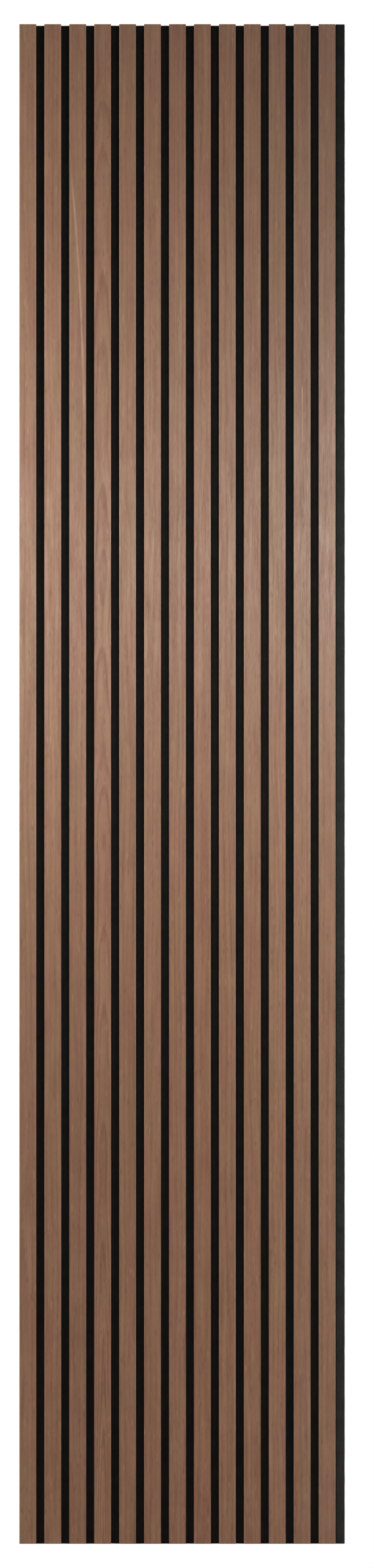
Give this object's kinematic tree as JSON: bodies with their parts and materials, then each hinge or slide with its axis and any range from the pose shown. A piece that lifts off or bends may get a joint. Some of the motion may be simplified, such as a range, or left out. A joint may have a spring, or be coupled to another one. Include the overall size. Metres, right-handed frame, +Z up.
{
  "type": "acoustic slat wall panel",
  "caption": "Tall wall panel of walnut-veneered slats glued side by side, with open gaps, to black felt that absorbs sound.",
  "frame": {"origin": "on the wall face, which is the back of the felt, midway across the panel and midway up the slats", "axes": "+Z up along the slats, +X to the right as seen from the room, +Y into the wall, so the slats face -Y"},
  "size_m": [0.522, 0.021, 2.44],
  "materials": {
    "walnut_veneer": "matt-lacquered walnut veneer with fine straight grain along the slat",
    "black_fibreboard": "through-dyed black fibreboard, matt, square sawn",
    "black_felt": "needle-punched black polyester felt, matt"
  },
  "bodies": {
    "root": {"felt_backing": "black_felt", "slat_core_01": "black_fibreboard", "slat_veneer_01": "walnut_veneer", "slat_core_02": "black_fibreboard", "slat_veneer_02": "walnut_veneer", "slat_core_03": "black_fibreboard", "slat_veneer_03": "walnut_veneer", "slat_core_04": "black_fibreboard", "slat_veneer_04": "walnut_veneer", "slat_core_05": "black_fibreboard", "slat_veneer_05": "walnut_veneer", "slat_core_06": "black_fibreboard", "slat_veneer_06": "walnut_veneer", "slat_core_07": "black_fibreboard", "slat_veneer_07": "walnut_veneer", "slat_core_08": "black_fibreboard", "slat_veneer_08": "walnut_veneer", "slat_core_09": "black_fibreboard", "slat_veneer_09": "walnut_veneer", "slat_core_10": "black_fibreboard", "slat_veneer_10": "walnut_veneer", "slat_core_11": "black_fibreboard", "slat_veneer_11": "walnut_veneer", "slat_core_12": "black_fibreboard", "slat_veneer_12": "walnut_veneer", "slat_core_13": "black_fibreboard", "slat_veneer_13": "walnut_veneer"}
  },
  "joints": []
}
